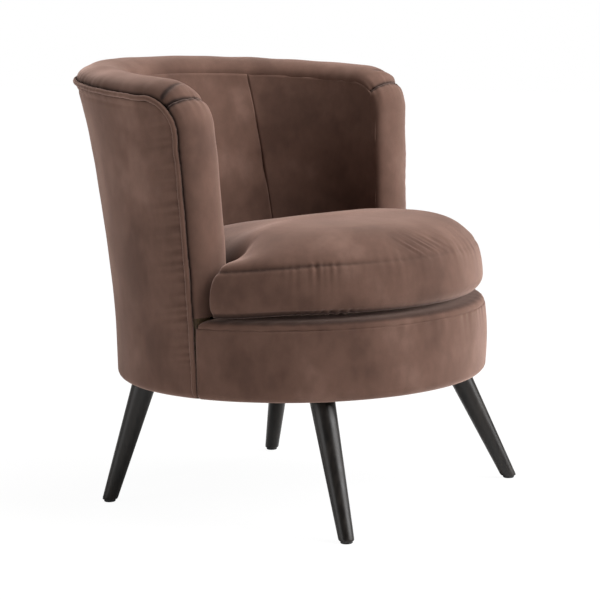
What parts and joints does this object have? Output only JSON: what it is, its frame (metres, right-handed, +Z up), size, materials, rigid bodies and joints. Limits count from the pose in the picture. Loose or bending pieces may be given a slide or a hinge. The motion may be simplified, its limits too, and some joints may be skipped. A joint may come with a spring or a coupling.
{
  "type": "round tub armchair",
  "caption": "Round upholstered tub armchair: drum base on splayed tapered legs, flared wrap-round back with piped rolled edge, loose crowned seat cushion.",
  "frame": {"origin": "floor point under the centre of the chair's outline", "axes": "+Z up, the chair faces -Y, +X is the sitter's left"},
  "size_m": [0.6926, 0.7071, 0.7602],
  "materials": {
    "velvet": "mauve-brown velvet, short pile with a soft sheen",
    "foam": "open-cell upholstery foam",
    "wadding": "loose polyester fibre",
    "frame_timber": "plain sawn timber and plywood",
    "liner_board": "thin fibreboard",
    "leg_wood": "black satin lacquer",
    "steel": "zinc plated",
    "glide_plastic": "moulded, matte",
    "zip_plastic": "moulded coil and slider, dyed to match",
    "zip_tape": "woven tape, dyed to match",
    "webbing": "woven elastic strap",
    "dust_cloth": "black non-woven cloth"
  },
  "bodies": {
    "chair": {"arm_facing_left": "velvet", "arm_facing_right": "velvet", "arm_post_left": "frame_timber", "arm_post_right": "frame_timber", "arm_roll_pad_left": "foam", "arm_roll_pad_right": "foam", "back_post_1": "frame_timber", "back_post_2": "frame_timber", "back_post_3": "frame_timber", "back_post_4": "frame_timber", "back_post_5": "frame_timber", "base_ring": "frame_timber", "base_stud_1": "frame_timber", "base_stud_2": "frame_timber", "base_stud_3": "frame_timber", "base_stud_4": "frame_timber", "base_stud_5": "frame_timber", "base_stud_6": "frame_timber", "dust_cover": "dust_cloth", "front_board": "liner_board", "front_border_cover": "velvet", "front_border_wadding": "wadding", "glide_front_left": "glide_plastic", "glide_front_right": "glide_plastic", "glide_rear_left": "glide_plastic", "glide_rear_right": "glide_plastic", "inner_back_board": "liner_board", "inner_back_foam": "foam", "inside_arm_cover_left": "velvet", "inside_arm_cover_right": "velvet", "inside_back_cover": "velvet", "leg_bolts": "steel", "leg_front_left": "leg_wood", "leg_front_right": "leg_wood", "leg_inserts": "steel", "leg_rear_left": "leg_wood", "leg_rear_right": "leg_wood", "outer_back_cover": "velvet", "outer_back_liner": "liner_board", "outer_back_wadding": "wadding", "piping": "velvet", "post_screws": "steel", "seat_deck_cover": "velvet", "seat_deck_pad": "foam", "seat_ring": "frame_timber", "strap_crosswise_1": "webbing", "strap_crosswise_2": "webbing", "strap_crosswise_3": "webbing", "strap_lengthwise_1": "webbing", "strap_lengthwise_2": "webbing", "strap_lengthwise_3": "webbing", "stud_screws": "steel", "top_border_cover": "velvet", "top_rail": "frame_timber", "top_roll_pad": "foam"},
    "seat_cushion": {"cushion_cover": "velvet", "cushion_core": "foam", "zip_tape": "zip_tape", "zip_teeth": "zip_plastic"},
    "zip_slider": {"zip_slider": "zip_plastic"}
  },
  "joints": [
    {"name": "cushion_lift", "type": "slide", "parent": "chair", "child": "seat_cushion", "axis": [0, 0, 1], "range_m": [0, 0.45]},
    {"name": "zip_slide", "type": "hinge", "parent": "seat_cushion", "child": "zip_slider", "pos_m": [0, -0.03358, 0.3825], "axis": [0, 0, 1], "range_deg": [0, 120]}
  ]
}
